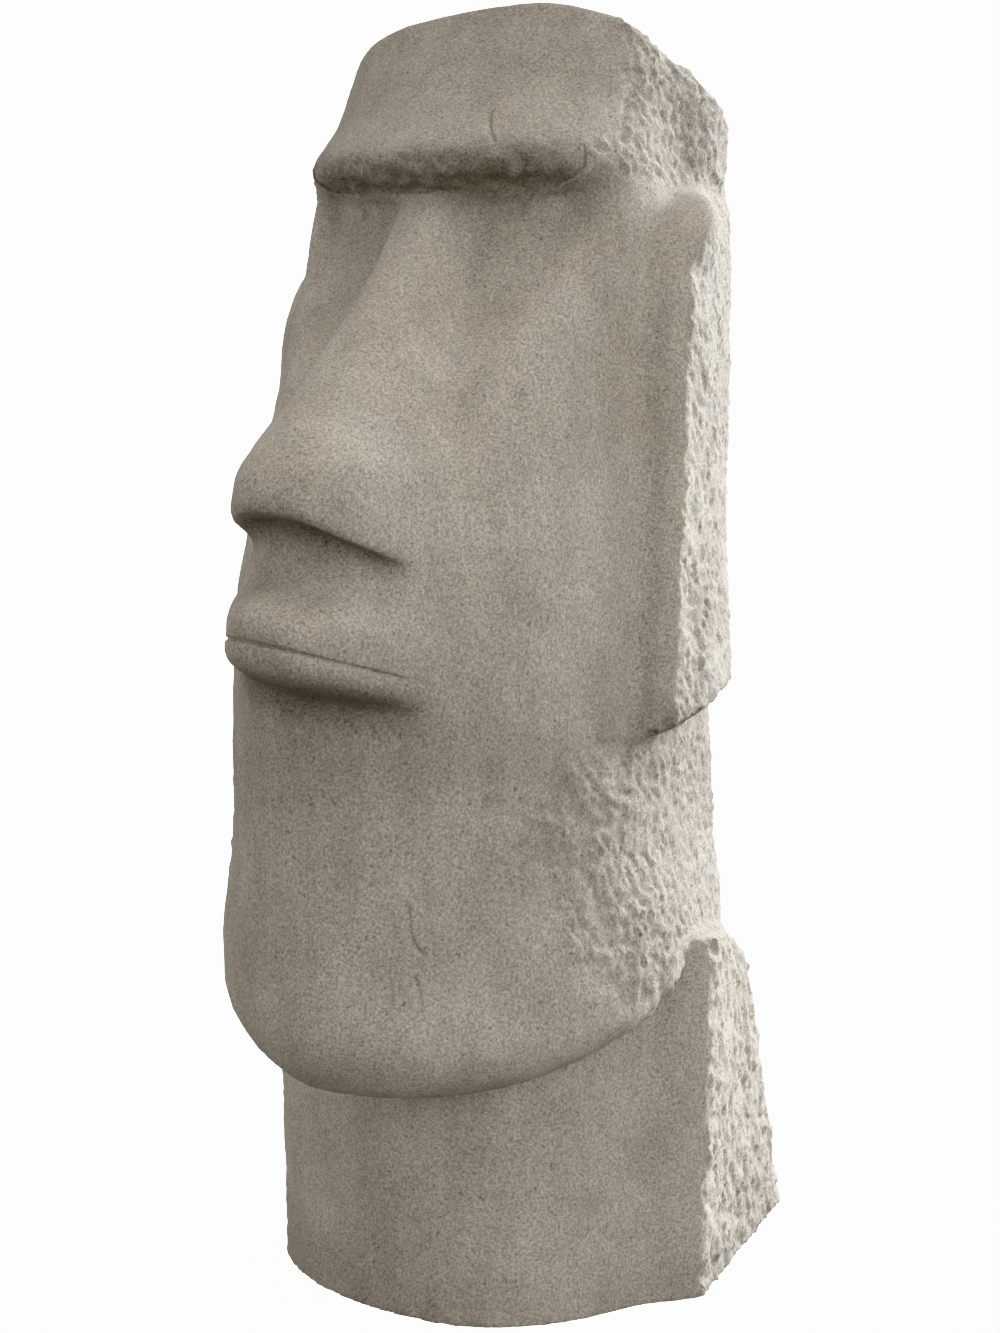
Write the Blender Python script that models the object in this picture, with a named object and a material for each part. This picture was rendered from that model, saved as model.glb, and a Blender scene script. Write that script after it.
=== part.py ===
"""Moai garden statue, one metre tall, modelled as the single casting that it is.

Metres, +Z up, the origin on the ground at the middle of the statue's bounding box. The face
looks along -Y, and the statue's own left is +X. "Forward" below is a distance along -Y from the
line that joins the two front arrises of the base.
"""
import math
from collections import namedtuple

import bpy
from mathutils import Vector

# Driving sizes of the whole figure
HEIGHT = 1.000
ARRIS_LINE = 0.0135         # how far behind the origin the base's front arrises stand
VOXEL = 0.004               # grain of the fused form
TRIANGLES = 9600            # what the finished form is thinned to

# The head as plan sections, from the jaw up to the crown. Each is a round front between the
# two flanks and a boxier rear.
Section = namedtuple("Section", "z front half_width flank square rear_half rear")
HEAD = [
    Section(0.150, 0.240, 0.180, 0.020, 1.96, 0.172, 0.165),
    Section(0.230, 0.254, 0.183, 0.020, 1.96, 0.171, 0.176),
    Section(0.285, 0.258, 0.181, 0.020, 1.96, 0.169, 0.182),
    Section(0.360, 0.255, 0.168, 0.020, 2.00, 0.160, 0.188),
    Section(0.460, 0.255, 0.164, 0.020, 2.08, 0.153, 0.195),
    Section(0.550, 0.243, 0.162, 0.014, 2.15, 0.150, 0.200),
    Section(0.660, 0.198, 0.161, 0.006, 2.12, 0.148, 0.205),
    Section(0.745, 0.156, 0.159, 0.002, 2.12, 0.148, 0.208),
    Section(0.800, 0.134, 0.157, 0.000, 2.10, 0.150, 0.208),
    Section(0.870, 0.122, 0.149, 0.000, 2.10, 0.158, 0.208),
    Section(0.930, 0.085, 0.143, -0.020, 2.10, 0.165, 0.205),
    Section(1.000, 0.046, 0.136, -0.040, 2.20, 0.156, 0.195),
]
REAR_SQUARE = 3.2
REAR_RUN = 0.080            # length over which a flank changes to the rear half width

# Crown
CROWN_RADIUS = 0.014        # worn edge around the top of the head
CROWN_FRONT = 0.030         # the crown falls from here towards the back
CROWN_DEEP = 0.230
CROWN_HALF = 0.130
CROWN_DOME = 0.012          # how much it falls towards the flanks
CROWN_FALL = 0.060          # and towards its back corners
CROWN_MIDDLE = 0.350        # share of that fall on the centre line

# Jaw line: low under the chin, rising to the shoulders of the base
JAW_LOW = 0.174
JAW_RISE = 0.094
JAW_RIGHT = 2.4             # it rises in a round sweep on the right
JAW_LEFT = 0.6              # and turns up later, in a squarer corner, on the left
JAW_ROUND = 0.048           # radius of the chin's underside
JAW_ROUND_END = 0.900       # it dies out towards the flanks, from this cosine of the angle
NAPE_FALL = 0.130           # how far the neck runs down into the base behind

# Brow and eye hollows
BROW_EDGE = 0.844           # lower edge of the brow at the centre
BROW_TILT = 0.087           # it falls a little towards the left, like the mouth
BROW_END_RISE = 0.014       # and bends up towards both ends
BROW_HALF = 0.124
BROW_OUT = 0.010
BROW_MIDDLE = 0.016         # height of the fullest line above the lower edge
BROW_TALL = 0.030
BROW_END_FADE = 0.040
EYE_DEPTH = 0.040
EYE_LEDGE = 0.016           # height over which the underside of the brow turns in
EYE_END = 0.102             # where the hollow starts to fade at the temple
EYE_END_FADE = 0.048
EYE_FADE = 0.080            # reach of the hollow below the brow, towards the temple
EYE_TROUGH = 0.200          # and beside the nose
EYE_TROUGH_HALF = 0.035
EYE_TROUGH_FADE = 0.085
EYE_SOFT = 1.450            # how far it is drawn out at its lower end

# Nose
NOSE_ROOT_Z = 0.850
NOSE_ROOT_OUT = 0.102
NOSE_SLOPE = 0.645
NOSE_SWEEP = 0.887          # the ridge steepens with the square of the way down
NOSE_TIP_OUT = 0.305
NOSE_TIP_SOFT = 0.014
NOSE_EDGE_Z = 0.584         # lower edge of the tip, on the centre line
NOSE_EDGE_DROP = 4.0        # the edge falls with the square of the distance from the centre
NOSE_EDGE_TILT = 0.200
NOSE_EDGE_SOFT = 0.004
NOSE_BASE_Z = 0.553
NOSE_BASE_OUT = 0.238
NOSE_BASE_SLOPE = 3.0
WING_HALF = 0.082
ROOT_HALF = 0.028
NOSE_WIDEN = 1.3            # power with which the nose widens downwards
NOSE_ROOT_DROP = 0.024      # how far the flanks lie behind the ridge, at the root
NOSE_WING_DROP = 0.102      # and at the wings
NOSE_ROUND = 3.1
NOSE_ROOT_CUT = 4.0         # slope that closes the nose above its root
NOSE_FILLET = 0.010

# Muzzle and lips
MUZZLE_OUT = 0.027
MUZZLE_Z = 0.525
MUZZLE_TALL = 0.075
MUZZLE_HALF = 0.070
LIP_OUT = 0.036
LIP_SEAM_Z = 0.4955
LIP_SEAM_DROP = 1.7
LIP_TILT = 0.190            # the mouth falls a little towards its left corner
LIP_UP = 0.040
LIP_BOTTOM_Z = 0.464        # lower edge of the lower lip, on the centre line
LIP_BOTTOM_RISE = 0.8
UPPER_FADE = 2.0            # the upper lip flattens out along the mouth
LOWER_FADE = 3.0            # and the lower one later
LOWER_LIP = 0.95            # how far the lower lip stands out, against the upper
MOUTH_HALF = 0.083
SEAM_DEPTH = 0.003
SEAM_HALF = 0.003

# Ears
EAR_OUT = 0.189             # outer face, at its front arris
EAR_FLARE = 0.011           # how much further out the lobe swells, behind the arris
EAR_FLARE_TALL = 0.200
EAR_FLARE_REACH = 0.060
EAR_IN = 0.140
EAR_WALL = 0.163            # where its front face meets the cheek
EAR_TOP = 0.880
EAR_TOP_ROUND = 0.113       # how far the front arris falls back there
EAR_TOP_SHARE = 0.395       # upper share of the ear that rounds over
EAR_TOP_DRAW = 0.370        # and draws in towards the head
EAR_BOTTOM = 0.424
EAR_BACK = -0.115
EAR_TOE = 0.120             # the outer face draws in towards the back
EAR_BELLY = 0.900           # and curves in with the square of the distance
EAR_BELLY_START = 0.040
EAR_LEAN = 0.100            # the front edge leans back as it rises
EAR_FRONT = 0.076           # forward place of the inner front edge at the lobe
EAR_SLANT = 0.016           # how far the front arris lies behind that edge
LOBE_RISE = 0.045           # how much the lobe's lower edge rises towards the back
LOBE_LENGTH = 0.150
LOBE_CURVE = 0.6            # and how soon

# Base
BASE_HALF = 0.185
BASE_BOW = 0.148            # how far the front bows out, before its arrises
BOW_PEAK = 0.035            # it stands out most here, left of the centre line
BOW_LEFT = 1.00             # how it falls away to the left arris
BOW_RIGHT = 0.60            # and, fuller, to the right one
BOW_DENT = 0.022            # it is hollowed before the left arris
BOW_DENT_PLACE = 0.80       # at this share of the way there
BOW_DENT_REACH = 0.15
BASE_TOE = 0.140
BASE_REAR = 0.285
BASE_CORNER = 0.016
BASE_REAR_TAPER = 0.420     # how far the back comes forward for each metre up
BASE_SPREAD = 0.230         # how much wider the block grows for each metre up
BASE_SHOULDER = 0.273
BASE_SHOULDER_FALL = 0.055
BASE_SHOULDER_POWER = 6
BASE_BELOW = 0.030          # spare depth, cut off flat at the ground
SHOULDER_KEEP = 0.780       # the top of the block closes inwards under the head
SHOULDER_RISE = 0.014

# How finely the skins are laid out
FRONT_STEPS = 90            # points around the face
REAR_STEPS = 60             # and around the back
UNDER_ROWS = 10
FACE_ROWS = 190
EDGE_ROWS = 8
CROWN_ROWS = 6
BASE_ROWS = 30
BOW_STEPS = 48
SIDE_STEPS = 24
CORNER_STEPS = 6
EAR_ROWS = 60
EAR_STEPS = 8

STONE = (0.300, 0.268, 0.225, 1.0)
STONE_ROUGHNESS = 0.92
QUARTER = math.pi / 2


def place(x, out, z):
    """A point from its distance to the left, forward of the arris line, and up."""
    return Vector((x, ARRIS_LINE - out, z))


def hermite(a, b, before, after, t):
    """Smooth value between a and b, with slopes taken from the neighbours."""
    slope_a = (b - before) / 2
    slope_b = (after - a) / 2
    return ((2 * t ** 3 - 3 * t ** 2 + 1) * a + (t ** 3 - 2 * t ** 2 + t) * slope_a
            + (3 * t ** 2 - 2 * t ** 3) * b + (t ** 3 - t ** 2) * slope_b)


def head_section(z):
    """The head's plan section at one height, eased between the listed ones."""
    z = min(max(z, HEAD[0].z), HEAD[-1].z)
    i = max(k for k in range(len(HEAD) - 1) if HEAD[k].z <= z)
    low, high = HEAD[i], HEAD[i + 1]
    span = high.z - low.z
    t = (z - low.z) / span
    values = []
    for k in range(1, len(low)):
        before = 2 * low[k] - high[k]
        after = 2 * high[k] - low[k]
        if i > 0:
            rise = (high[k] - HEAD[i - 1][k]) / (high.z - HEAD[i - 1].z)
            before = high[k] - rise * 2 * span
        if i + 2 < len(HEAD):
            rise = (HEAD[i + 2][k] - low[k]) / (HEAD[i + 2].z - low.z)
            after = low[k] + rise * 2 * span
        values.append(hermite(low[k], high[k], before, after, t))
    return Section(z, *values)


def ease(x):
    """0 below 0, 1 above 1, smooth between."""
    x = min(max(x, 0.0), 1.0)
    return x * x * (3 - 2 * x)


def power(x, p):
    return math.copysign(abs(x) ** p, x)


def soft_max(a, b, blend):
    """The greater of two values, with a fillet of about the size of blend."""
    return 0.5 * (a + b + math.sqrt((a - b) ** 2 + blend ** 2))


# ---------------------------------------------------------------- the face, as forward distance

def brow_line(x):
    return BROW_EDGE - BROW_TILT * x + BROW_END_RISE * (x / BROW_HALF) ** 2


def eye_hollow(x, z):
    """Depth of the hollow under the brow, which runs on down beside the nose as a trough."""
    below = brow_line(x) - z
    under = ease(below / EYE_LEDGE + 0.5)
    outward = ease((abs(x) - EYE_TROUGH_HALF) / EYE_TROUGH_FADE)
    length = EYE_TROUGH + (EYE_FADE - EYE_TROUGH) * outward
    fade = 1 - ease(below / (EYE_SOFT * length))
    ends = 1 - ease((abs(x) - EYE_END) / EYE_END_FADE)
    return EYE_DEPTH * under * fade * ends


def brow_roll(x, z):
    """The rounded ledge of the brow, over the flat of the forehead."""
    across = (z - brow_line(x) - BROW_MIDDLE) / BROW_TALL
    ends = 1 - ease((abs(x) - BROW_HALF) / BROW_END_FADE + 0.25)
    return BROW_OUT * math.exp(-across * across) * ends


def nose(x, z):
    """Forward distance of the nose alone, which falls away outside it."""
    side = abs(x)
    down = max(NOSE_ROOT_Z - z, 0.0)
    grown = ease(down / (NOSE_ROOT_Z - NOSE_EDGE_Z))
    half = ROOT_HALF + (WING_HALF - ROOT_HALF) * grown ** NOSE_WIDEN
    line = NOSE_ROOT_OUT + NOSE_SLOPE * down + NOSE_SWEEP * down * down
    ridge = -soft_max(-line, -NOSE_TIP_OUT, NOSE_TIP_SOFT)
    drop = NOSE_ROOT_DROP + (NOSE_WING_DROP - NOSE_ROOT_DROP) * grown
    out = ridge - drop * (side / half) ** NOSE_ROUND
    edge = NOSE_EDGE_Z - NOSE_EDGE_TILT * x - NOSE_EDGE_DROP * side * side
    under = soft_max(edge - z, 0.0, NOSE_EDGE_SOFT)
    out -= under * (NOSE_TIP_OUT - NOSE_BASE_OUT) / (NOSE_EDGE_Z - NOSE_BASE_Z)
    out -= NOSE_BASE_SLOPE * max(NOSE_BASE_Z - z, 0.0)
    return out - NOSE_ROOT_CUT * max(z - NOSE_ROOT_Z, 0.0)


def lips(x, z):
    """How far the lips stand out of the muzzle."""
    side = abs(x) / MOUTH_HALF
    if side >= 1.0:
        return 0.0
    seam = LIP_SEAM_Z - LIP_TILT * x - LIP_SEAM_DROP * x * x
    bottom = LIP_BOTTOM_Z - LIP_TILT * x + LIP_BOTTOM_RISE * x * x
    above = z - seam
    if above > 0:
        t = min(above / LIP_UP, 1.0)
        relief = (1 - t ** 3) * (1 - side ** UPPER_FADE)
    else:
        t = min(-above / (seam - bottom), 1.0)
        relief = LOWER_LIP * (1 - t ** 4) ** 0.8 * (1 - side ** LOWER_FADE)
    groove = SEAM_DEPTH * math.exp(-(above / SEAM_HALF) ** 2) * min(1.0, 4 * (1 - side))
    return LIP_OUT * relief - groove


def muzzle(x, z):
    """The swell of the mouth region between the nose and the chin."""
    up = (z - MUZZLE_Z) / MUZZLE_TALL
    return MUZZLE_OUT * math.exp(-up * up) * math.exp(-(x / MUZZLE_HALF) ** 4)


def face_forward(x, z, plain):
    """Forward distance of the carved face, from that of the plain surface."""
    flesh = plain - eye_hollow(x, z) + brow_roll(x, z) + muzzle(x, z) + lips(x, z)
    return soft_max(flesh, nose(x, z), NOSE_FILLET)


# ---------------------------------------------------------------- the head

def head_outline(angle, z):
    """Point of the head's plan section; angle runs -90..90 degrees over the front, then behind."""
    s = head_section(z)
    sine, cosine = math.sin(angle), math.cos(angle)
    if cosine >= 0:
        x = s.half_width * power(sine, 2 / s.square)
        return x, s.flank + (s.front - s.flank) * cosine ** (2 / s.square)
    back = (s.rear + s.flank) * abs(cosine) ** (2 / REAR_SQUARE)
    half = s.half_width + (s.rear_half - s.half_width) * ease(back / REAR_RUN)
    return half * power(sine, 2 / REAR_SQUARE), s.flank - back


def jaw_height(angle):
    """Height of the jaw line, or of the foot of the neck behind."""
    sine, cosine = math.sin(angle), math.cos(angle)
    if cosine < 0:
        return JAW_LOW + JAW_RISE - NAPE_FALL * abs(cosine)
    if sine < 0:
        return JAW_LOW + JAW_RISE * abs(sine) ** JAW_RIGHT
    return JAW_LOW + JAW_RISE * sine * sine * (1 - cosine ** JAW_LEFT)


def jaw_round(angle):
    """Radius under the jaw, which dies out towards the flanks."""
    return JAW_ROUND * ease(math.cos(angle) / JAW_ROUND_END)


def crown_height(x, out):
    """Height of the crown, which falls towards its back corners."""
    back = (max(0.0, CROWN_FRONT - out) / CROWN_DEEP) ** 1.5
    side = abs(x) / CROWN_HALF
    share = CROWN_MIDDLE + (1 - CROWN_MIDDLE) * side * side
    return HEIGHT - CROWN_DOME * side ** 3 - CROWN_FALL * back * share


def ring_angles():
    front = [math.pi * (k / FRONT_STEPS - 0.5) for k in range(FRONT_STEPS)]
    rear = [math.pi * (k / REAR_STEPS + 0.5) for k in range(REAR_STEPS)]
    return front + rear


def head_point(angle, z, inset):
    """Point of the head's skin at one height, drawn in towards the axis by inset."""
    x, out = head_outline(angle, z)
    if math.cos(angle) >= 0:
        out = face_forward(x, z, out)
    size = math.hypot(x, out)
    keep = (size - inset) / size
    return place(x * keep, out * keep, z)


def jaw_ring(turn):
    """One ring of the rounded underside of the jaw; turn runs from 0 to a right angle."""
    ring = []
    for angle in ring_angles():
        radius = jaw_round(angle)
        z = jaw_height(angle) + radius * (1 - math.cos(turn))
        ring.append(head_point(angle, z, radius * (1 - math.sin(turn))))
    return ring


def flank_ring(share):
    """One ring of the head, at a share of the way from the jaw to the edge of the crown."""
    ring = []
    for angle in ring_angles():
        low = jaw_height(angle) + jaw_round(angle)
        x, out = head_outline(angle, HEIGHT)
        top = crown_height(x, out) - CROWN_RADIUS
        ring.append(head_point(angle, low + (top - low) * share, 0.0))
    return ring


def edge_ring(rim, turn):
    """One ring of the worn edge, which turns from the flank onto the crown."""
    ring = []
    for p in rim:
        size = math.hypot(p.x, ARRIS_LINE - p.y)
        keep = (size - CROWN_RADIUS * (1 - math.cos(turn))) / size
        z = p.z + CROWN_RADIUS * math.sin(turn)
        ring.append(place(p.x * keep, (ARRIS_LINE - p.y) * keep, z))
    return ring


def crown_ring(rim, keep):
    """One ring of the domed crown, inside its edge."""
    ring = []
    for p in rim:
        x, out = p.x * keep, (ARRIS_LINE - p.y) * keep
        ring.append(place(x, out, crown_height(x, out)))
    return ring


def closed_mesh(name, rings, low, high):
    """A closed skin over a stack of equal rings, with a point at each end."""
    count = len(rings[0])
    points = [p for ring in rings for p in ring] + [low, high]
    faces = []
    for row in range(len(rings) - 1):
        for k in range(count):
            a, b = row * count + k, row * count + (k + 1) % count
            faces.append((a, b, b + count, a + count))
    last = (len(rings) - 1) * count
    bottom, top = len(points) - 2, len(points) - 1
    for k in range(count):
        after = (k + 1) % count
        faces.append((bottom, after, k))
        faces.append((top, last + k, last + after))
    mesh = bpy.data.meshes.new(name)
    mesh.from_pydata([tuple(p) for p in points], [], faces)
    mesh.validate()
    body = bpy.data.objects.new(name, mesh)
    bpy.context.collection.objects.link(body)
    return body


def head_body():
    """Head, face and neck, from the underside of the jaw to the crown."""
    rings = [jaw_ring(QUARTER * j / UNDER_ROWS) for j in range(UNDER_ROWS)]
    rings += [flank_ring(j / (FACE_ROWS - 1)) for j in range(FACE_ROWS)]
    rim = rings[-1]
    rings += [edge_ring(rim, QUARTER * j / EDGE_ROWS) for j in range(1, EDGE_ROWS + 1)]
    rim = rings[-1]
    rings += [crown_ring(rim, 1 - j / (CROWN_ROWS + 1)) for j in range(1, CROWN_ROWS + 1)]
    return closed_mesh("moai", rings, place(0, 0, JAW_LOW + 0.5 * JAW_RISE), place(0, 0, HEIGHT))


# ---------------------------------------------------------------- the base and the ears

def base_bow(x):
    """Forward distance of the front of the base, at one place between its arrises."""
    if x < BOW_PEAK:
        t = (BOW_PEAK - x) / (BASE_HALF + BOW_PEAK)
        return BASE_BOW * (1 - min(t * t, 1.0)) ** BOW_RIGHT
    t = (x - BOW_PEAK) / (BASE_HALF - BOW_PEAK)
    dent = BOW_DENT * math.exp(-((t - BOW_DENT_PLACE) / BOW_DENT_REACH) ** 2) * (1 - t ** 8)
    return BASE_BOW * (1 - min(t * t, 1.0)) ** BOW_LEFT - dent


def base_outline():
    """The base's plan at the ground, as (x, forward, share of the depth): a bow in front."""
    bow = []
    for k in range(BOW_STEPS + 1):
        x = BASE_HALF * math.sin(QUARTER * (2 * k / BOW_STEPS - 1))
        bow.append((x, base_bow(x), 0.0))
    side = []
    for k in range(1, SIDE_STEPS + 1):
        back = (BASE_REAR - BASE_CORNER) * k / SIDE_STEPS
        side.append((BASE_HALF - BASE_TOE * back, -back, back / BASE_REAR))
    for k in range(1, CORNER_STEPS + 1):
        turn = QUARTER * k / CORNER_STEPS
        back = BASE_REAR - BASE_CORNER * (1 - math.sin(turn))
        x = BASE_HALF - BASE_TOE * BASE_REAR - BASE_CORNER * (1 - math.cos(turn))
        side.append((x, -back, back / BASE_REAR))
    half = side[-1][0]
    rear = [(half * (1 - k / 4), -BASE_REAR, 1.0) for k in range(1, 8)]
    return bow + side + rear + [(-x, out, depth) for x, out, depth in reversed(side)]


def base_body():
    """The block under the jaw, with its shoulders."""
    outline = base_outline()
    rings = []
    for j in range(BASE_ROWS + 1):
        ring = []
        for x, out, depth in outline:
            top = BASE_SHOULDER - BASE_SHOULDER_FALL * depth ** BASE_SHOULDER_POWER
            z = -BASE_BELOW + (top + BASE_BELOW) * j / BASE_ROWS
            forward = out + BASE_REAR_TAPER * max(z, 0.0) * ease(1.2 * depth)
            ring.append(place(x * (1 + BASE_SPREAD * z), forward, z))
        rings.append(ring)
    closing = []
    for p in rings[-1]:
        out = (ARRIS_LINE - p.y) * SHOULDER_KEEP
        closing.append(place(p.x * SHOULDER_KEEP, out, p.z + SHOULDER_RISE))
    rings.append(closing)
    top = place(0, 0, BASE_SHOULDER + SHOULDER_RISE)
    return closed_mesh("base_block", rings, place(0, 0, -BASE_BELOW), top)


def ear_plan(t):
    """The ear's plan as (x, forward) points, at a share t of its height."""
    up = (EAR_TOP - EAR_BOTTOM) * t
    round_top = EAR_TOP_ROUND * max(0.0, 1 - (1 - t) / EAR_TOP_SHARE) ** 4
    flare = EAR_FLARE * (1 - ease(up / EAR_FLARE_TALL))
    outer = EAR_OUT - EAR_TOP_DRAW * round_top
    wall = EAR_WALL - EAR_TOP_DRAW * round_top
    inner = EAR_FRONT - EAR_LEAN * up - round_top
    arris = inner - EAR_SLANT
    back = EAR_BACK - 0.4 * round_top
    middle = (0.5 * (wall + outer), 0.5 * (inner + arris) + 0.005)
    plan = [(EAR_IN, inner - 0.010), (wall, inner), (wall + 0.008, inner - 0.003), middle,
            (outer - 0.004, arris + 0.006)]
    for k in range(EAR_STEPS + 1):
        behind = (arris - back) * k / EAR_STEPS
        belly = EAR_BELLY * max(0.0, behind - EAR_BELLY_START) ** 2
        swell = flare * ease(behind / EAR_FLARE_REACH)
        plan.append((outer + swell - EAR_TOE * behind - belly, arris - behind))
    return plan + [(EAR_IN - 0.020, back)]


def ear_body(side):
    """One long ear: a slab along the side of the head, rounded at the top, broader at the lobe."""
    rings = []
    for j in range(EAR_ROWS + 1):
        t = j / EAR_ROWS
        z = EAR_BOTTOM + (EAR_TOP - EAR_BOTTOM) * t
        plan = ear_plan(t)
        front = plan[1][1]
        ring = []
        for x, out in plan:
            back = min(max((front - out) / LOBE_LENGTH, 0.0), 1.0)
            rise = LOBE_RISE * (1 - t) ** 6 * back ** LOBE_CURVE
            ring.append(place(side * x, out, z + rise))
        if side < 0:
            ring.reverse()
        rings.append(ring)
    middle = side * 0.5 * (EAR_IN + EAR_OUT)
    low = place(middle, 0.5 * (EAR_FRONT + EAR_BACK), EAR_BOTTOM + 0.4 * LOBE_RISE)
    return closed_mesh("ear", rings, low, place(middle, 0.8 * EAR_BACK, EAR_TOP + 0.004))


# ---------------------------------------------------------------- putting it together

def ground_block():
    """A block whose top is the ground, which cuts the base off flat."""
    bpy.ops.mesh.primitive_cube_add(size=1.0, location=(0, 0, -0.5))
    block = bpy.context.active_object
    block.name = "ground_cut"
    return block


def add_boolean(body, other, operation):
    cut = body.modifiers.new(other.name, "BOOLEAN")
    cut.operation = operation
    cut.solver = "EXACT"
    cut.object = other
    other.hide_render = True
    other.display_type = "WIRE"


def stone_material():
    stone = bpy.data.materials.new("cast_stone")
    stone.use_nodes = True
    shader = stone.node_tree.nodes["Principled BSDF"]
    shader.inputs["Base Color"].default_value = STONE
    shader.inputs["Roughness"].default_value = STONE_ROUGHNESS
    return stone


def triangle_count(body):
    bpy.context.view_layer.update()
    shape = body.evaluated_get(bpy.context.evaluated_depsgraph_get())
    mesh = shape.to_mesh()
    mesh.calc_loop_triangles()
    count = len(mesh.loop_triangles)
    shape.to_mesh_clear()
    return count


def build():
    for body in list(bpy.data.objects):
        bpy.data.objects.remove(body)
    statue = head_body()
    for other in (base_body(), ear_body(1), ear_body(-1)):
        add_boolean(statue, other, "UNION")
    fuse = statue.modifiers.new("fuse", "REMESH")
    fuse.mode = "VOXEL"
    fuse.voxel_size = VOXEL
    soften = statue.modifiers.new("soften", "SMOOTH")
    soften.factor = 0.5
    soften.iterations = 3
    thin = statue.modifiers.new("thin", "DECIMATE")
    thin.ratio = TRIANGLES / triangle_count(statue)
    add_boolean(statue, ground_block(), "DIFFERENCE")
    statue.data.materials.append(stone_material())
    statue.data.shade_smooth()


build()
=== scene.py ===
"""Looks of the moai statue: the dressed and hammered skin of one stone casting, and the studio.

Metres, +Z up. The face looks along -Y and the statue's own left is +X. "Out" is the distance
forward of the line that joins the two front arrises of the base, as in the statue's own sizes, and
"side" is the distance from the middle plane. A fade is the place where it starts and the length
over which it grows from 0 to 1; a negative length grows the other way. A hump is the place of its
middle and its half width.
"""

import math
import random
from collections import namedtuple

import bpy
import numpy as np
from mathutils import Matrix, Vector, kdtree, noise


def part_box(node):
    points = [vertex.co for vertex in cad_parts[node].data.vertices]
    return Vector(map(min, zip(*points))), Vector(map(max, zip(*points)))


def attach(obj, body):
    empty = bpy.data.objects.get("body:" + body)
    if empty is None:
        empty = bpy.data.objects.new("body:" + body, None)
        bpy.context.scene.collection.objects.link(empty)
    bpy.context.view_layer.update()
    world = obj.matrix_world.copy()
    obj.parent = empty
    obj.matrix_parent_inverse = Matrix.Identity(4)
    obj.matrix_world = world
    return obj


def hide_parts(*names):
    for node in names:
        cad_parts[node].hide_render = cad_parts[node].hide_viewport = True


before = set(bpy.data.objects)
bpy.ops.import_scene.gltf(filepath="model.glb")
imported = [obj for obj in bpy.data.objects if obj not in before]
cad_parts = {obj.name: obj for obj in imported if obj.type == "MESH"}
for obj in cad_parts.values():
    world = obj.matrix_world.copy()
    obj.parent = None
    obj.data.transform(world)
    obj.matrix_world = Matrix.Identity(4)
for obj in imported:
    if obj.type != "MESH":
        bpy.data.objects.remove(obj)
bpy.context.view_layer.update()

LOW, HIGH = [np.array(corner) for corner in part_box("moai")]
KEPT_IN = 0.0002            # the skin stays this far inside that box
ARRIS_LINE = 0.0135         # how far behind the origin the base's front arrises stand

EVEN = (1, 1, 1)
Relief = namedtuple("Relief", "strength size octaves seed stretch", defaults=(0.0, EVEN))
Bites = namedtuple("Bites", "spacing radius depth seed")
Groove = namedtuple("Groove", "line half depth")
Pattern = namedtuple("Pattern", "size detail roughness stops stretch", defaults=(EVEN,))
Grit = namedtuple("Grit", "size detail roughness distance strength")

# The skin
WELD = 0.00001
SHARP_TURN = math.radians(38)
GRAIN = 0.0022              # voxel of the working skin
GRAIN_PASSES = 6            # smoothing that takes the voxels' steps off
RELAX_STEP = 0.6
EDGE_REACH = 14             # passes that tell an arris or a crease from a flat
SOFT_REACH = 70             # passes that work a soft hollow
SHARPEN = 0.9               # how much of what the casting's arrises lost is given back
SKIN_TRIANGLES = 172000     # what the skin is thinned to before the fine grooves
FRONT_FADE = (0.1, -0.3)    # on the normal's Y: from faces that look back to those in front
FACE_OUT = 0.08             # the face's own carving lies further out than this

# Brow, nose and mouth, as in the statue's own sizes
BROW_EDGE = 0.844
BROW_TILT = 0.087
BROW_BEND = 0.91
NOSE_EDGE = 0.584
NOSE_TILT = 0.200
NOSE_BEND = 4.0
SEAM_Z = 0.4955
SEAM_TILT = 0.190
SEAM_DROP = 1.7
MOUTH_HALF = 0.083
LIP_FOOT = 0.4575
LIP_FOOT_BEND = 0.8

# Where the carving runs over softly: the brow's roll, and the hollows before the ears
BROW_SOFT = 0.30
BROW_SOFT_HUMP = (0.004, 0.010)     # above the brow's line
BROW_SOFT_SIDE = (0.150, -0.02)
HOLLOW_SOFT = 0.75
HOLLOW_SIDE = (0.161, 0.010)
HOLLOW_FOOT = (0.44, 0.02)
HOLLOW_TOP = (0.86, -0.03)

# A face that looks less far forward than the limit is hammered, any other is dressed smooth
DRESSED_LIMIT = 0.24
DRESSED_BLUR = 0.22
LEVEL_SHARE = 0.6           # how far a face that looks up or down counts as one in front
LIMIT_WANDER = Relief(0.16, 0.05, 2)
LIMIT_RAGGED = Relief(0.12, 0.014, 1)
TEMPLE_SHIFT = 0.34         # the hammering comes further forward on the temples
JAW_SHIFT = 0.22            # and on the sides of the jaw,
CHEEK_SHIFT = 0.75          # and keeps off the cheeks and the ears' fronts
TEMPLE_FADE = (0.0, 0.012)  # above the ear's round top
JAW_TOP = (0.425, -0.02)
JAW_FOOT = (0.24, 0.05)
CHEEK_FOOT = (0.43, 0.01)
CHEEK_TOP = (0.0, -0.01)    # below the ear's round top
CHEEK_SIDE = (0.182, -0.006)
CHEEK_FRONT = (-0.030, 0.015)       # in front of the ear's front arris

# The ear: its round top, and its front arris, which leans back and then falls back at the top
EAR_TOP = 0.843
EAR_TOP_RISE = 0.026
EAR_TOP_SIDE = 0.166
EAR_TOP_HALF = 0.026
EAR_FRONT = 0.060
EAR_LEAN = 0.10
EAR_FOOT = 0.424
EAR_FALL = 0.113
EAR_FALL_FROM = 0.70
EAR_FALL_TALL = 0.18
EAR_FALL_POWER = 4
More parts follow.
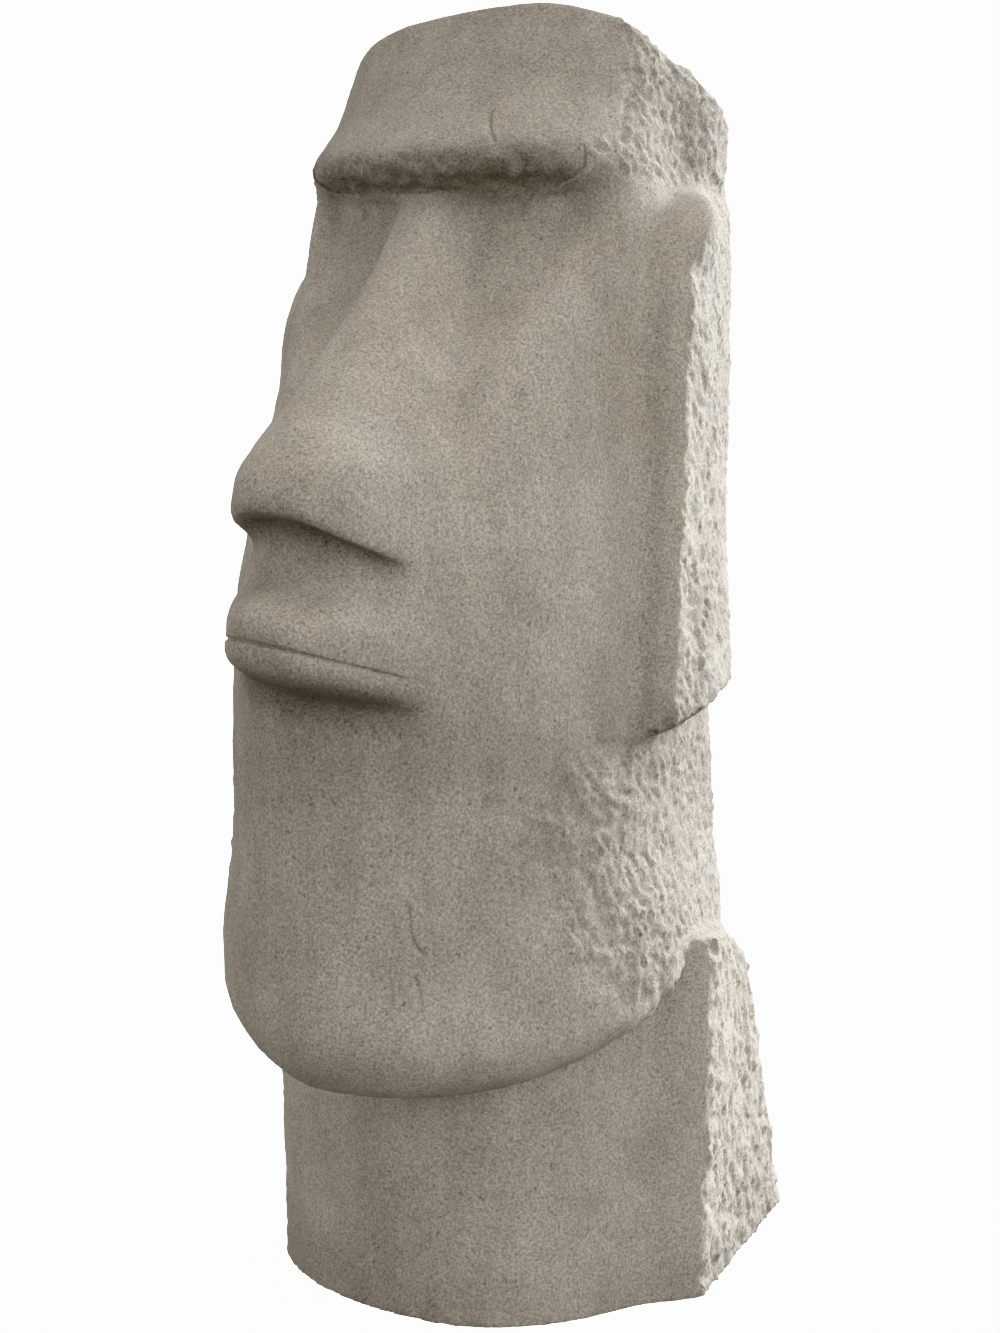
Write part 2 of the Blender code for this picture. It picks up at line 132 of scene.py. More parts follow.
# The top of the left ear is drawn outwards
SPREAD = 0.016
SPREAD_RISE = (0.775, 0.055)
SPREAD_CLOSE = (0.845, 0.025)
SPREAD_BEHIND = (0.005, -0.085)
SPREAD_SIDE = (0.150, 0.02)
SPREAD_OUT = 0.06           # nothing further out than this is drawn along

# The slow unevenness of hand work
SWELL_BROAD = Relief(0.0012, 0.070, 2)
SWELL_SMALL = Relief(0.0005, 0.028, 1)

# The dressed front: dips, streaks that stand upright, and level ones on the foot
DIPS = Relief(0.0004, 0.018, 3, 3.0)
STREAKS_UP = Relief(1.0, 0.010, 2, 7.0, (1, 1, 0.4))
STREAKS_LEVEL = Relief(1.0, 0.010, 2, 13.0, (0.5, 0.5, 1.6))
STREAKS_DEEP = 0.00015      # how deep both are above the chin,
STREAKS_DEEPER = 0.0006     # and how much deeper below it
STREAKS_TOP = (0.50, -0.12)
FOOT_TOP = (0.20, -0.06)

# The hammered flanks and back
BROAD = Relief(0.0018, 0.030, 2, 11.0)
BLOWS = Relief(0.0022, 0.0065, 2, 23.0)
RIDGES = Relief(0.0008, 0.009, 2, 31.0)
RIDGE_POWER = 6
PITS = Relief(0.0026, 0.0055, 1, 47.0)
PITS_FROM = 0.25
GASHES = Relief(0.0026, 0.011, 2, 61.0, (1, 1, 0.5))
GASHES_TOP = (0.27, -0.02)
BACK_PLAINER = 0.4
BACK_FADE = (0.3, 0.4)      # on the normal's Y

# The brow's lower edge, and the eye hollow below it
ROLL_HUMP = (0.011, 0.015)  # above the brow's line
ROLL_ENDS = (0.142, -0.055)
BROW_LUMPS = Relief(0.0044, 0.013, 2, 5.0)
BROW_CRUMBS = Relief(0.0026, 0.006, 2, 9.0)
ROLL_BACK = 0.008
ROLL_BACK_RISE = (-0.030, 0.028)    # below the brow's line
ROLL_BACK_FOOT = (0.0, 0.005)
ROLL_BACK_ENDS = (0.150, -0.05)
EYE_BACK = 0.004
EYE_HUMP = (-0.012, 0.009)  # above the brow's line
EYE_OUTER = (0.110, -0.060)
EYE_INNER = (0.02, 0.03)

# Under and beside the nose, and under the lower lip
NOSE_START = 0.004          # below the nose's edge, the undercut is full from here
NOSE_SIDE = (0.074, -0.02)
NOSE_BACK = 0.008
NOSE_BACK_TALL = 0.020
NOSTRIL_BACK = 0.008
NOSTRIL_SIDE = (0.025, 0.013)
NOSTRIL_BELOW = (0.008, 0.006)
TROUGH_BACK = 0.0028
TROUGH_SIDE = (0.074, 0.010)
TROUGH_FOOT = (0.53, 0.05)
TROUGH_TOP = (0.72, -0.07)
LIP_ENDS = (0.088, -0.03)
LIP_BACK = 0.003
LIP_BACK_TALL = 0.006

# The crease between the chin and the base
CREASE_DEEPER = 3.0
CREASE_FROM = 0.0007        # creases shallower than this are left
CREASE_MOST = 0.0016
CREASE_TOP = (0.285, -0.02)
CREASE_FOOT = (0.12, 0.03)

# Bites out of the arrises
ARRIS_STAND = 0.0010        # a place that stands out this far is on an arris
ARRIS_SIDE = 0.172
EAR_SPAN = (0.425, 0.87)
EAR_BEHIND = -0.04
LOBE_TOP = 0.50
UPRIGHT_SPAN = (0.012, 0.268)
UPRIGHT_OUT = 0.02
EAR_BITES = Bites(0.009, 0.0072, 0.0080, 4)
UPRIGHT_BITES = Bites(0.010, 0.0085, 0.0095, 5)
LOBE_BITES = Bites(0.012, 0.010, 0.0060, 6)
BITE_SIZES = (0.6, 1.5)     # least and most, as shares of the radius
BITE_DEPTHS = (0.5, 1.0)
BITE_MOST = 0.8             # no bite is deeper than this share of its radius

# Fine grooves of the front, drawn as places (x, z)
CRACK = [(0.058, 0.9015), (0.0575, 0.893), (0.0625, 0.880), (0.071, 0.866)]
CHIN_GROOVE = [(0.0665, 0.3225), (0.0683, 0.313), (0.0698, 0.2985), (0.073, 0.2895), (0.0805, 0.2825)]
CHIN_CUT = [(0.0725, 0.2705), (0.0755, 0.2515), (0.0755, 0.242)]
STREAK = [(0.024, 0.459), (0.040, 0.432)]
STREAK_STEP = 0.013
STREAK_DROP = 0.003
STREAK_PLACES = range(-1, 4)
SEAM_STEPS = 8              # each way from the middle
SEAM_PAST = 1.02
FACE_BEHIND = -0.06         # the fine grooves lie in front of this
GROOVE_REACH = 0.004        # the skin is refined this far from a groove,
GROOVE_ROUNDS = 4
FINEST = 0.0014             # down to edges of this length
GROOVE_ENDS = 8             # a groove fades over this part of its length at each end

# Painted shade: the stone's colour is darkened in inside corners and sheltered places to stand in for
# shade
HOLLOW_FULL = 0.0022        # an inside corner that stands this far back gets the full painted shade
NOSE_SHADE_TALL = 0.024
LIP_SHADE = 0.9
LIP_SHADE_TALL = 0.015
BROW_SHADE = 0.8


# ---------------------------------------------------------------- small helpers

def ease(t):
    """0 below 0, 1 above 1, smooth between, for whole arrays."""
    t = np.clip(t, 0.0, 1.0)
    return t * t * (3 - 2 * t)


def grown(value, fade):
    start, length = fade
    return ease((value - start) / length)


def bell(t):
    return np.exp(-t * t)


def humped(value, hump):
    middle, half = hump
    return bell((value - middle) / half)


def select_only(piece):
    bpy.ops.object.select_all(action="DESELECT")
    piece.select_set(True)
    bpy.context.view_layer.objects.active = piece


def apply_modifier(piece, kind, **settings):
    """Adds one modifier with these settings and applies it."""
    step = piece.modifiers.new(kind.lower(), kind)
    for name, value in settings.items():
        setattr(step, name, value)
    select_only(piece)
    bpy.ops.object.modifier_apply(modifier=step.name)


def rows(collection, field):
    """One vector field of a mesh as an array of rows."""
    flat = np.empty(len(collection) * 3)
    collection.foreach_get(field, flat)
    return flat.reshape(-1, 3)


def places(piece):
    return rows(piece.data.vertices, "co")


def normals(piece):
    return rows(piece.data.vertices, "normal")


def put(piece, points):
    piece.data.vertices.foreach_set("co", points.ravel())
    piece.data.update()


def edge_ends(piece):
    ends = np.empty(len(piece.data.edges) * 2, dtype=np.int64)
    piece.data.edges.foreach_get("vertices", ends)
    return ends.reshape(-1, 2).T


def neighbours(piece):
    """Both ends of every edge, each way round, and how many neighbours a vertex has."""
    a, b = edge_ends(piece)
    here, there = np.concatenate([a, b]), np.concatenate([b, a])
    return here, there, np.bincount(here, minlength=len(piece.data.vertices))


def relaxed(values, links, passes):
    """Values averaged with their neighbours, pass after pass."""
    here, there, count = links
    values = values.copy()
    for _ in range(passes):
        for k in range(values.shape[1]):
            mean = np.bincount(here, weights=values[there, k], minlength=len(count)) / count
            values[:, k] += RELAX_STEP * (mean - values[:, k])
    return values


def lumps(points, relief):
    """Soft noise of the relief's lump size, each octave half as big and half as strong."""
    total = np.zeros(len(points))
    where = points * (np.array(relief.stretch) / relief.size) + relief.seed
    for k in range(relief.octaves):
        total += np.fromiter(map(noise.noise, (where * 2 ** k).tolist()), float) / 2 ** k
    return total


def raised(points, relief):
    return relief.strength * lumps(points, relief)


# ---------------------------------------------------------------- the skin of the statue

def hold_arrises():
    """Creases every sharp edge of the piece being edited, so that smoothing leaves it in place."""
    bpy.ops.mesh.select_mode(type="EDGE")
    bpy.ops.mesh.select_all(action="DESELECT")
    bpy.ops.mesh.edges_select_sharp(sharpness=SHARP_TURN)
    bpy.ops.transform.edge_crease(value=1.0)


def bare_skin():
    """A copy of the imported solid, merged, smoothed and laid out as an even, fine skin."""
    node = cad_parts["moai"]
    skin = bpy.data.objects.new("statue_skin", node.data.copy())
    bpy.context.collection.objects.link(skin)
    select_only(skin)
    bpy.ops.object.mode_set(mode="EDIT")
    bpy.ops.mesh.select_all(action="SELECT")
    bpy.ops.mesh.remove_doubles(threshold=WELD)
    hold_arrises()
    bpy.ops.object.mode_set(mode="OBJECT")
    apply_modifier(skin, "SUBSURF", levels=1, render_levels=1)
    apply_modifier(skin, "REMESH", mode="VOXEL", voxel_size=GRAIN)
    apply_modifier(skin, "SMOOTH", factor=0.5, iterations=GRAIN_PASSES)
    return skin


def brow_line(x):
    """Height of the brow's lower edge."""
    return BROW_EDGE - BROW_TILT * x + BROW_BEND * x * x


def nose_edge(x):
    """Height of the nose's lower edge."""
    return NOSE_EDGE - NOSE_TILT * x - NOSE_BEND * x * x


class Stone:
    """The skin's points with what the carving needs to know about them."""

    def __init__(self, skin):
        self.points = places(skin)
        self.facing = normals(skin)
        self.links = neighbours(skin)
        self.x, self.z = self.points[:, 0], self.points[:, 2]
        self.side = np.abs(self.x)
        self.out = ARRIS_LINE - self.points[:, 1]
        self.front = grown(self.facing[:, 1], FRONT_FADE)
        soft = self.how_soft()
        off = self.points - relaxed(self.points, self.links, EDGE_REACH)
        self.stand = np.einsum("ij,ij->i", off, self.facing) * (1 - soft)
        gentle = relaxed(self.points, self.links, SOFT_REACH)
        self.points = self.points + (gentle - self.points) * soft[:, None]
        self.rough = self.how_rough()

    def how_soft(self):
        """Where the carving runs over softly: the brow's lower roll and the hollows before the ears."""
        brow = humped(self.z - brow_line(self.x), BROW_SOFT_HUMP) * grown(self.side, BROW_SOFT_SIDE)
        hollow = humped(self.side, HOLLOW_SIDE) * grown(self.z, HOLLOW_FOOT) * grown(self.z, HOLLOW_TOP)
        return np.maximum(BROW_SOFT * brow, HOLLOW_SOFT * hollow) * self.front

    def how_rough(self):
        """Dressed smooth in front, hammered on the flanks and behind, with a ragged limit."""
        ragged = raised(self.points, LIMIT_WANDER) + raised(self.points, LIMIT_RAGGED)
        round_top = np.clip(1 - ((self.side - EAR_TOP_SIDE) / EAR_TOP_HALF) ** 2, 0, 1)
        over_ear = self.z - (EAR_TOP + EAR_TOP_RISE * round_top)
        temple = grown(over_ear, TEMPLE_FADE)
        jaw_side = grown(self.z, JAW_TOP) * grown(self.z, JAW_FOOT)
        fall = np.clip((self.z - EAR_FALL_FROM) / EAR_FALL_TALL, 0, 1) ** EAR_FALL_POWER
        ear_front = EAR_FRONT - EAR_LEAN * (self.z - EAR_FOOT) - EAR_FALL * fall
        cheek = grown(self.z, CHEEK_FOOT) * grown(over_ear, CHEEK_TOP) * grown(self.side, CHEEK_SIDE)
        cheek = cheek * grown(self.out - ear_front, CHEEK_FRONT)
        limit = DRESSED_LIMIT + TEMPLE_SHIFT * temple + JAW_SHIFT * jaw_side - CHEEK_SHIFT * cheek + ragged
        forward = LEVEL_SHARE * np.abs(self.facing[:, 2]) - self.facing[:, 1]
        return 1 - ease((forward - limit) / DRESSED_BLUR)


def brow_roll(stone):
    """Where the brow's lower edge rolls under, roughly worked."""
    ends = grown(stone.side, ROLL_ENDS) * stone.front
    return humped(stone.z - brow_line(stone.x), ROLL_HUMP) * ends


def under_nose(stone, tall):
    """The sheltered strip below the nose's edge, this tall."""
    below = nose_edge(stone.x) - stone.z
    strip = grown(below, (0.0, NOSE_START)) * (1 - grown(below, (NOSE_START, tall)))
    return strip * grown(stone.side, NOSE_SIDE) * stone.front * (stone.out > FACE_OUT)


def under_lip(stone, tall):
    """The strip below the lower lip, this tall."""
    lower_edge = LIP_FOOT - SEAM_TILT * stone.x + LIP_FOOT_BEND * stone.x ** 2
    strip = bell((stone.z - lower_edge) / tall) * grown(stone.side, LIP_ENDS)
    return strip * stone.front * (stone.out > FACE_OUT)


def sharpened(stone):
    """Arrises and creases brought back from the soft form."""
    return SHARPEN * stone.stand


def swell(stone):
    return raised(stone.points, SWELL_BROAD) + raised(stone.points, SWELL_SMALL)


def dressing(stone):
    """The dressed front: faint dips and streaks, stronger on the chin and the base."""
    upright = raised(stone.points, STREAKS_UP)
    level = raised(stone.points, STREAKS_LEVEL)
    worked = upright + grown(stone.z, FOOT_TOP) * (level - upright)
    deep = STREAKS_DEEP + STREAKS_DEEPER * grown(stone.z, STREAKS_TOP)
    return (1 - stone.rough) * (raised(stone.points, DIPS) + deep * worked)


def hammering(stone):
    """The hammered flanks and back: lumps, sharp creases between them, small pits and gashes."""
    ridges = (1 - np.abs(lumps(stone.points, RIDGES))) ** RIDGE_POWER
    pits = np.clip(lumps(stone.points, PITS) - PITS_FROM, 0, 1)
    gashes = lumps(stone.points, GASHES) * grown(stone.z, GASHES_TOP)
    relief = raised(stone.points, BROAD) + raised(stone.points, BLOWS)
    relief = relief - RIDGES.strength * ridges - PITS.strength * pits + GASHES.strength * gashes
    seen = 1 - BACK_PLAINER * grown(stone.facing[:, 1], BACK_FADE)
    return stone.rough * seen * relief


def brow_work(stone):
    """The rough lumps of the brow's lower roll."""
    return brow_roll(stone) * (raised(stone.points, BROW_LUMPS) + raised(stone.points, BROW_CRUMBS))


def creases_cut(stone):
    """A deeper line where the chin meets the base."""
    jaw = grown(stone.z, CREASE_TOP) * grown(stone.z, CREASE_FOOT) * stone.front
    return -CREASE_DEEPER * np.clip(-stone.stand - CREASE_FROM, 0, CREASE_MOST) * jaw


def pushed_back(stone):
    """How far points go straight back into the head: eyes, brow, nostrils, under nose and lip."""
    side, z = stone.side, stone.z
    above = z - brow_line(stone.x)
    eye = EYE_BACK * humped(above, EYE_HUMP) * grown(side, EYE_OUTER) * grown(side, EYE_INNER)
    over = brow_line(stone.x) - z
    roll = ROLL_BACK * grown(over, ROLL_BACK_RISE) * (1 - grown(over, ROLL_BACK_FOOT))
    roll = roll * grown(side, ROLL_BACK_ENDS)
    below = nose_edge(stone.x) - z
    (across, half), (down, tall) = NOSTRIL_SIDE, NOSTRIL_BELOW
    nostril = NOSTRIL_BACK * bell(np.hypot((side - across) / half, (below - down) / tall))
    trough = TROUGH_BACK * humped(side, TROUGH_SIDE) * grown(z, TROUGH_FOOT) * grown(z, TROUGH_TOP)
    carved = (eye + roll + nostril + trough) * stone.front * (stone.out > FACE_OUT)
    carved = carved + NOSE_BACK * under_nose(stone, NOSE_BACK_TALL)
    return carved + LIP_BACK * under_lip(stone, LIP_BACK_TALL)


def ear_spread(stone):
    """How far the top of the left ear is drawn outwards, to a round, wide end."""
    rise = SPREAD * grown(stone.z, SPREAD_RISE) * (1 - grown(stone.z, SPREAD_CLOSE))
    behind = 1 - grown(stone.out, SPREAD_BEHIND)
    return rise * behind * grown(stone.x, SPREAD_SIDE) * (stone.out < SPREAD_OUT)


def scooped(points, facing, candidates, bites):
    """Small round bites out of an edge, at candidates picked no closer than their spacing."""
    order = list(candidates)
    dice = random.Random(bites.seed)
    dice.shuffle(order)
    tree = kdtree.KDTree(len(points))
    for k, point in enumerate(points.tolist()):
        tree.insert(point, k)
    tree.balance()
    free = np.zeros(len(points), dtype=bool)
    free[candidates] = True
    for k in order:
        if not free[k]:
            continue
        for _, near, _ in tree.find_range(points[k].tolist(), bites.spacing):
            free[near] = False
        size = bites.radius * dice.uniform(*BITE_SIZES)
        bite = min(bites.depth * dice.uniform(*BITE_DEPTHS), BITE_MOST * size)
        centre = points[k] + facing[k] * (size - bite)
        ids = [near for _, near, _ in tree.find_range(centre.tolist(), size)]
        if ids:
            away = points[ids] - centre
            points[ids] = centre + away * (size / np.linalg.norm(away, axis=1))[:, None]
    return points


def within(value, span):
    low, high = span
    return (value > low) & (value < high)


def chip_arrises(stone, points):
    """Ragged bites along the ears' front arrises and lobes, and up the base's front arrises."""
    sharp = (stone.stand > ARRIS_STAND) & (stone.side > ARRIS_SIDE)
    ears = sharp & within(stone.z, EAR_SPAN) & (stone.out > EAR_BEHIND)
    lobes = ears & (stone.z < LOBE_TOP)
    upright = sharp & within(stone.z, UPRIGHT_SPAN) & (np.abs(stone.out) < UPRIGHT_OUT)
    for edge, bites in ((ears, EAR_BITES), (upright, UPRIGHT_BITES), (lobes, LOBE_BITES)):
        points = scooped(points, stone.facing, np.flatnonzero(edge), bites)
    return points


def off_line(x, z, line):
    """Distance from a line drawn on the front, and the share of the way along it."""
    best, along, run = np.full(len(x), 1.0), np.zeros(len(x)), 0.0
    whole = sum(math.dist(a, b) for a, b in zip(line, line[1:]))
    for (ax, az), (bx, bz) in zip(line, line[1:]):
        length = math.dist((ax, az), (bx, bz))
        ux, uz = (bx - ax) / length, (bz - az) / length
        t = np.clip((x - ax) * ux + (z - az) * uz, 0, length)
        away = np.hypot(x - ax - t * ux, z - az - t * uz)
        nearer = away < best
        best = np.where(nearer, away, best)
        along = np.where(nearer, (run + t) / whole, along)
        run += length
    return best, along


def seam_line():
    """The line where the lips meet."""
    across = [MOUTH_HALF * SEAM_PAST * (k / SEAM_STEPS - 1) for k in range(2 * SEAM_STEPS + 1)]
    return [(x, SEAM_Z - SEAM_TILT * x - SEAM_DROP * x * x) for x in across]


def grooves():
    """Every fine line of the front: the mouth, a crack, cuts in the chin, streaks under the lip."""
    streaks = [[(x + STREAK_STEP * k, z - STREAK_DROP * k) for x, z in STREAK] for k in STREAK_PLACES]
    cuts = [Groove(seam_line(), 0.0012, 0.0034), Groove(CRACK, 0.0011, 0.0024),
            Groove(CHIN_GROOVE, 0.0018, 0.0022), Groove(CHIN_CUT, 0.0014, 0.0020)]
    return cuts + [Groove(line, 0.0020, 0.0010) for line in streaks]


def refined(skin):
    """Splits the long edges of the front that lie within reach of a fine groove."""
    select_only(skin)
    for _ in range(GROOVE_ROUNDS):
        spots = places(skin)
        near = np.zeros(len(spots), dtype=bool)
        for groove in grooves():
            near |= off_line(spots[:, 0], spots[:, 2], groove.line)[0] < GROOVE_REACH
        near &= spots[:, 1] < FACE_BEHIND
        a, b = edge_ends(skin)
        long = np.linalg.norm(spots[a] - spots[b], axis=1) > FINEST
        bpy.ops.object.mode_set(mode="EDIT")
        bpy.ops.mesh.select_mode(type="EDGE")
        bpy.ops.mesh.select_all(action="DESELECT")
        bpy.ops.object.mode_set(mode="OBJECT")
        skin.data.edges.foreach_set("select", (near[a] | near[b]) & long)
        bpy.ops.object.mode_set(mode="EDIT")
        bpy.ops.mesh.subdivide(number_cuts=1)
        bpy.ops.mesh.select_all(action="SELECT")
        bpy.ops.mesh.quads_convert_to_tris()
        bpy.ops.object.mode_set(mode="OBJECT")


def cut_grooves(skin):
    refined(skin)
    points = places(skin)
    front = points[:, 1] < FACE_BEHIND
    for groove in grooves():
        away, along = off_line(points[:, 0], points[:, 2], groove.line)
        fade = ease(GROOVE_ENDS * along) * ease(GROOVE_ENDS * (1 - along))
        points[:, 1] += groove.depth * bell(away / groove.half) * fade * front
    put(skin, points)


def paint_shade_in_hollows(skin, stone):
    """Marks how hollow or sheltered each place is, for the painted shade that darkens the stone's colour
    there.
    """
    sheltered = under_nose(stone, NOSE_SHADE_TALL) + LIP_SHADE * under_lip(stone, LIP_SHADE_TALL)
    sheltered = sheltered + BROW_SHADE * brow_roll(stone)
    hollow = ease(-stone.stand / HOLLOW_FULL) * stone.front
    mark = skin.data.attributes.new("hollow", "FLOAT", "POINT")
    mark.data.foreach_set("value", np.maximum(hollow, sheltered))


def keep_inside(skin):
    """Holds every vertex within the solid's box."""
    put(skin, np.clip(places(skin), LOW + KEPT_IN, HIGH - KEPT_IN))


def statue():
    skin = bare_skin()
    stone = Stone(skin)
    along = sharpened(stone) + swell(stone) + dressing(stone) + hammering(stone)
    along += brow_work(stone) + creases_cut(stone)
    points = stone.points + stone.facing * along[:, None]
    points[:, 1] += pushed_back(stone)
    points[:, 0] += ear_spread(stone)
    put(skin, chip_arrises(stone, points))
    # Marks the hollows and the places under the brow, nose and lip for painted shade in the stone's colour
    paint_shade_in_hollows(skin, stone)
    keep_inside(skin)
    count = sum(len(face.vertices) - 2 for face in skin.data.polygons)
    apply_modifier(skin, "DECIMATE", ratio=SKIN_TRIANGLES / count)
    cut_grooves(skin)
    keep_inside(skin)
    skin.data.shade_smooth()
    skin.data.materials.clear()
    skin.data.materials.append(sandstone())
    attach(skin, "root")
    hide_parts("moai")


# ---------------------------------------------------------------- materials

STONE = (0.400, 0.360, 0.308)
STONE_STAIN = (0.345, 0.307, 0.258)
STONE_ROUGHNESS = 0.95
STONE_SHINE = 0.2
PATCHES = Pattern(0.09, 4.0, 0.6, [(0.38, 0.0), (0.64, 1.0)])
RUNS = Pattern(0.022, 3.0, 0.6, [(0.35, 0.93), (0.65, 1.05)], (1, 1, 0.3))
GRAINS = Pattern(0.0019, 2.0, 0.7, [(0.30, 0.66), (0.50, 1.0), (0.70, 1.36)])
SPECKS = Pattern(0.0026, 1.0, 0.5, [(0.24, 0.60), (0.36, 1.0)])
SMALL_PITS = Grit(0.007, 3.0, 0.6, 0.0012, 0.5)
SANDING = Grit(0.0018, 2.0, 0.6, 0.0005, 0.6)
# Tone by height: darker at the foot, at the chin and at the crown, paler on the upper base and in the
# middle of the face.
HEIGHT_TONE = [(0.0, 0.84), (0.06, 1.0), (0.20, 1.10), (0.29, 0.98), (0.42, 0.88), (0.50, 1.0), (0.70, 1.04),
           (0.86, 1.0), (0.92, 0.90), (1.0, 0.88)]
PAINTED_SHADE = [(0.0, 1.0), (1.0, 0.58)]       # painted shade: how dark the deepest inside corners and sheltered places are painted

FLOOR_SIZE = 60.0
FLOOR_TONE = 0.60
FLOOR_GLOW = 2.6


def new_material(name):
    material = bpy.data.materials.new(name)
    material.use_nodes = True
    return material, material.node_tree, material.node_tree.nodes["Principled BSDF"]


def add(tree, kind, **settings):
    node = tree.nodes.new(kind)
    for name, value in settings.items():
        setattr(node, name, value)
    return node


def noise_map(tree, where, size, detail, roughness, stretch=EVEN):
    """Noise with lumps of this size in metres."""
    turn = add(tree, "ShaderNodeMapping")
    turn.inputs["Scale"].default_value = stretch
    tree.links.new(where, turn.inputs["Vector"])
    node = add(tree, "ShaderNodeTexNoise")
    node.inputs["Scale"].default_value = 1 / size
    node.inputs["Detail"].default_value = detail
    node.inputs["Roughness"].default_value = roughness
    tree.links.new(turn.outputs["Vector"], node.inputs["Vector"])
    return node.outputs["Fac"]


def ramp(tree, value, stops):
    """A ramp from (position, grey level) stops."""
    node = add(tree, "ShaderNodeValToRGB")
    band = node.color_ramp
    while len(band.elements) < len(stops):
        band.elements.new(0.5)
    for element, (position, grey) in zip(band.elements, stops):
        element.position = position
        element.color = (grey, grey, grey, 1.0)
    tree.links.new(value, node.inputs["Fac"])
    return node.outputs["Color"]


def patterned(tree, where, pattern):
    """A pattern's noise, as grey levels."""
    fine = noise_map(tree, where, pattern.size, pattern.detail, pattern.roughness, pattern.stretch)
    return ramp(tree, fine, pattern.stops)


def mix(tree, kind, share, a, b):
    """Mixes two colours, each a socket or a fixed colour."""
    node = add(tree, "ShaderNodeMix", data_type="RGBA", blend_type=kind)
    for socket, value in ((node.inputs[0], share), (node.inputs[6], a), (node.inputs[7], b)):
        if isinstance(value, (int, float)):
            socket.default_value = value
        elif isinstance(value, tuple):
            socket.default_value = (*value, 1.0)
        else:
            tree.links.new(value, socket)
    return node.outputs[2]


def bump(tree, where, grit, below=None):
    """A fine unevenness, over the one below it."""
    node = add(tree, "ShaderNodeBump")
    node.inputs["Distance"].default_value = grit.distance
    node.inputs["Strength"].default_value = grit.strength
    height = noise_map(tree, where, grit.size, grit.detail, grit.roughness)
    tree.links.new(height, node.inputs["Height"])
    if below is not None:
        tree.links.new(below, node.inputs["Normal"])
    return node.outputs["Normal"]


def sandstone():
    """Cast sandstone: a warm grey body with soft patches, streaks and fine light and dark grains."""
    material, tree, shader = new_material("sand_stone")
    where = add(tree, "ShaderNodeTexCoord").outputs["Object"]
    body = mix(tree, "MIX", patterned(tree, where, PATCHES), STONE_STAIN, STONE)
    for pattern in (RUNS, GRAINS, SPECKS):
        body = mix(tree, "MULTIPLY", 1.0, body, patterned(tree, where, pattern))
    rise = add(tree, "ShaderNodeSeparateXYZ")
    tree.links.new(where, rise.inputs[0])
    body = mix(tree, "MULTIPLY", 1.0, body, ramp(tree, rise.outputs["Z"], HEIGHT_TONE))
    # Painted shade: the hollow mark darkens the colour in inside corners and under the brow, nose and lip
    hollow = add(tree, "ShaderNodeAttribute", attribute_name="hollow").outputs["Fac"]
    body = mix(tree, "MULTIPLY", 1.0, body, ramp(tree, hollow, PAINTED_SHADE))
    tree.links.new(body, shader.inputs["Base Color"])
    shader.inputs["Roughness"].default_value = STONE_ROUGHNESS
    shader.inputs["Specular IOR Level"].default_value = STONE_SHINE
    surface = bump(tree, where, SANDING, bump(tree, where, SMALL_PITS))
    tree.links.new(surface, shader.inputs["Normal"])
    return material


def floor_paint():
    material, _, shader = new_material("studio_floor")
    shader.inputs["Base Color"].default_value = (FLOOR_TONE, FLOOR_TONE, FLOOR_TONE, 1.0)
    shader.inputs["Emission Color"].default_value = (1.0, 1.0, 1.0, 1.0)
    shader.inputs["Emission Strength"].default_value = FLOOR_GLOW
    shader.inputs["Roughness"].default_value = 1.0
    shader.inputs["Specular IOR Level"].default_value = 0.0
    return material


# ---------------------------------------------------------------- the studio

VIEW_TURN = math.radians(29.0)
VIEW_PLACE = (0.7351, -1.2975, 0.4813)
VIEW_LENS = 50.0
VIEW_SENSOR = 36.0
VIEW_NEAREST = 0.01

# Name, turn from straight in front of the face towards its left, rise, strength, softness, tint.
LAMPS = [
    ("key_behind_left", 157, 20, 6.6, 24, (0.85, 0.92, 1.0)),
    ("key_behind_above", 157, 45, 2.0, 24, (0.88, 0.94, 1.0)),
    ("sky_above", 0, 84, 1.55, 60, (1.0, 0.99, 0.98)),
    ("fill_left", 80, 12, 2.25, 60, (1.0, 1.0, 1.0)),
    ("fill_right", 265, 5, 0.5, 60, (1.0, 1.0, 1.0)),
    ("fill_front_right", 330, 20, 0.85, 60, (1.0, 0.99, 0.98)),
    ("floor_light", 335, -10, 0.65, 60, (1.0, 0.99, 0.98)),
]
AIR_FROM_BELOW = 0.20
AIR_FROM_ABOVE = 0.13
AIR_BLEND = 0.2             # how far above and below the level the air goes from one to the other
BACKDROP = 3.0


def floor():
    bpy.ops.object.select_all(action="DESELECT")
    bpy.ops.mesh.primitive_plane_add(size=FLOOR_SIZE)
    sheet = bpy.context.active_object
    sheet.name = "studio_floor"
    sheet.data.materials.append(floor_paint())
    sheet.visible_diffuse = False
    sheet.visible_glossy = False
    sheet.visible_shadow = False


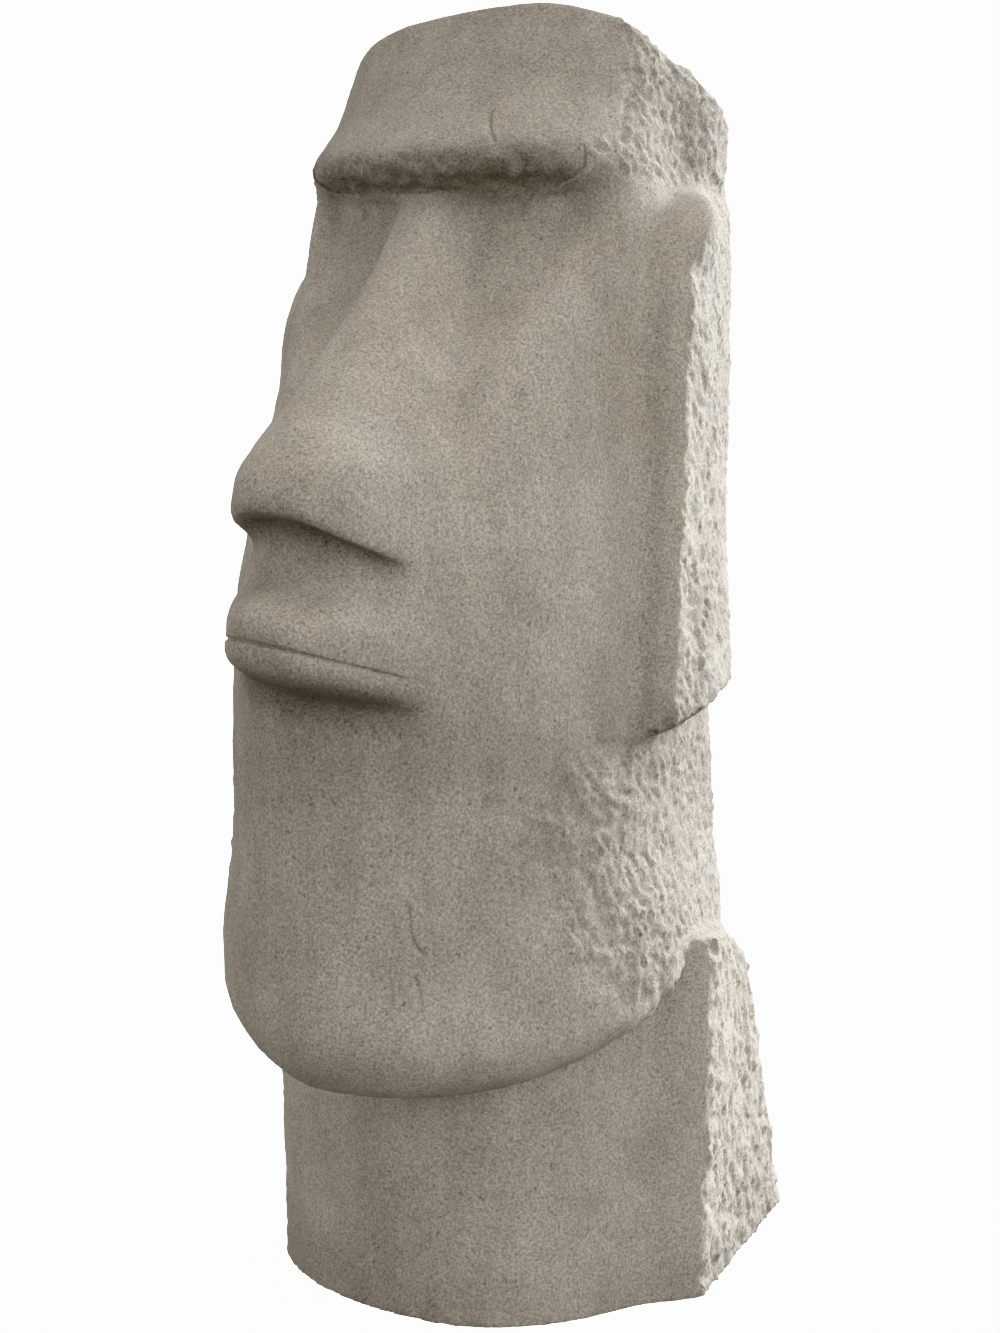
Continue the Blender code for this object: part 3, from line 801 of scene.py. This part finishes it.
def sun(name, turn, rise, strength, softness, tint):
    """A soft sun that shines from this turn and height, in degrees."""
    lamp = bpy.data.lights.new(name, "SUN")
    lamp.energy = strength
    lamp.angle = math.radians(softness)
    lamp.color = tint
    holder = bpy.data.objects.new(name, lamp)
    bpy.context.collection.objects.link(holder)
    holder.rotation_euler = (math.radians(90 - rise), 0.0, math.radians(turn))


def air():
    """A white surround for the camera, and for the stone a dim light, brighter from below."""
    world = bpy.data.worlds.new("studio_air")
    world.use_nodes = True
    tree = world.node_tree
    white = tree.nodes["Background"]
    white.inputs["Color"].default_value = (1.0, 1.0, 1.0, 1.0)
    white.inputs["Strength"].default_value = BACKDROP
    dim = add(tree, "ShaderNodeBackground")
    where = add(tree, "ShaderNodeTexCoord").outputs["Generated"]
    split = add(tree, "ShaderNodeSeparateXYZ")
    tree.links.new(where, split.inputs[0])
    rise = add(tree, "ShaderNodeMapRange")
    tree.links.new(split.outputs["Z"], rise.inputs["Value"])
    limits = {"From Min": -AIR_BLEND, "From Max": AIR_BLEND, "To Min": AIR_FROM_BELOW,
              "To Max": AIR_FROM_ABOVE}
    for name, value in limits.items():
        rise.inputs[name].default_value = value
    tree.links.new(rise.outputs["Result"], dim.inputs["Strength"])
    seen = add(tree, "ShaderNodeLightPath").outputs["Is Camera Ray"]
    join = add(tree, "ShaderNodeMixShader")
    tree.links.new(seen, join.inputs[0])
    tree.links.new(dim.outputs[0], join.inputs[1])
    tree.links.new(white.outputs[0], join.inputs[2])
    tree.links.new(join.outputs[0], tree.nodes["World Output"].inputs["Surface"])
    bpy.context.scene.world = world


def studio():
    floor()
    air()
    for lamp in LAMPS:
        sun(*lamp)
    bpy.context.scene.view_settings.view_transform = "Khronos PBR Neutral"


def camera():
    lens = bpy.data.cameras.new("view")
    lens.lens = VIEW_LENS
    lens.sensor_width = VIEW_SENSOR
    lens.clip_start = VIEW_NEAREST
    holder = bpy.data.objects.new("view", lens)
    bpy.context.collection.objects.link(holder)
    holder.location = VIEW_PLACE
    holder.rotation_euler = (math.pi / 2, 0.0, VIEW_TURN)
    bpy.context.scene.camera = holder


statue()
studio()
camera()
